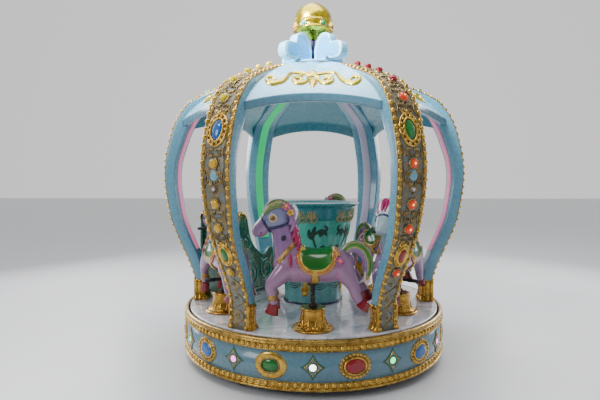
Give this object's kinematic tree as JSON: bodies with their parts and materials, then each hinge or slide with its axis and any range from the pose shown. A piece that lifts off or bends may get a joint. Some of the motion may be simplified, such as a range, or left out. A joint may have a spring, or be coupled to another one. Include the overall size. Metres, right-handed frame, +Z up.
{
  "type": "fairground carousel",
  "caption": "Crown-shaped children's fairground carousel: a round fixed base and a turning deck with ribs, a panelled roof, a centre barrel, horses on poles and a small chariot.",
  "frame": {"origin": "on the floor, on the turning axis at the centre of the base", "axes": "+Z up along the turning axis; -Y towards the bay that faces the viewer in the picture; +X to that viewer's right"},
  "size_m": [2.1338, 1.95, 2.458],
  "materials": {
    "light_blue_shell": "gloss painted glass-fibre shell",
    "teal_shell": "gloss painted glass-fibre shell",
    "dark_green_shell": "gloss painted glass-fibre shell",
    "lilac_shell": "gloss painted glass-fibre shell",
    "gold_paint": "gold metallic paint on glass fibre",
    "dark_blue_paint": "gloss dark blue paint",
    "pearl_deck": "gloss pearl white paint",
    "light_diffuser": "milky light diffuser, lit in colour",
    "black_steel": "satin black paint",
    "dark_steel": "dark grey chassis paint"
  },
  "bodies": {
    "base": {"base_chassis": "dark_steel", "base_skirt": "light_blue_shell", "base_lower_trim": "gold_paint", "base_upper_trim": "gold_paint"},
    "turntable": {"deck": "pearl_deck", "rib_1": "light_blue_shell", "rib_2": "light_blue_shell", "rib_3": "light_blue_shell", "rib_4": "light_blue_shell", "rib_5": "light_blue_shell", "rib_6": "light_blue_shell", "led_strip_1": "light_diffuser", "led_strip_2": "light_diffuser", "led_strip_3": "light_diffuser", "led_strip_4": "light_diffuser", "led_strip_5": "light_diffuser", "led_strip_6": "light_diffuser", "roof_panel_1": "light_blue_shell", "roof_panel_2": "light_blue_shell", "roof_panel_3": "light_blue_shell", "roof_panel_4": "light_blue_shell", "roof_panel_5": "light_blue_shell", "roof_panel_6": "light_blue_shell", "crown_hub": "light_blue_shell", "finial_post": "dark_blue_paint", "finial_brackets": "light_blue_shell", "finial_ball": "gold_paint", "barrel_drum": "teal_shell", "barrel_rim": "teal_shell", "horse_1_pedestal": "gold_paint", "horse_1_pole": "black_steel", "horse_1": "lilac_shell", "horse_2_pedestal": "gold_paint", "horse_2_pole": "black_steel", "horse_2": "lilac_shell", "horse_3_pedestal": "gold_paint", "horse_3_pole": "black_steel", "horse_3": "lilac_shell", "horse_4_pedestal": "gold_paint", "horse_4_pole": "black_steel", "horse_4": "lilac_shell", "horse_5_pedestal": "gold_paint", "horse_5_pole": "black_steel", "horse_5": "lilac_shell", "chariot_shell": "dark_green_shell", "chariot_bench": "dark_green_shell"}
  },
  "joints": [
    {"name": "turntable_spin", "type": "hinge", "parent": "base", "child": "turntable", "pos_m": [0, 0, 0.29], "axis": [0, 0, 1], "continuous": true}
  ]
}
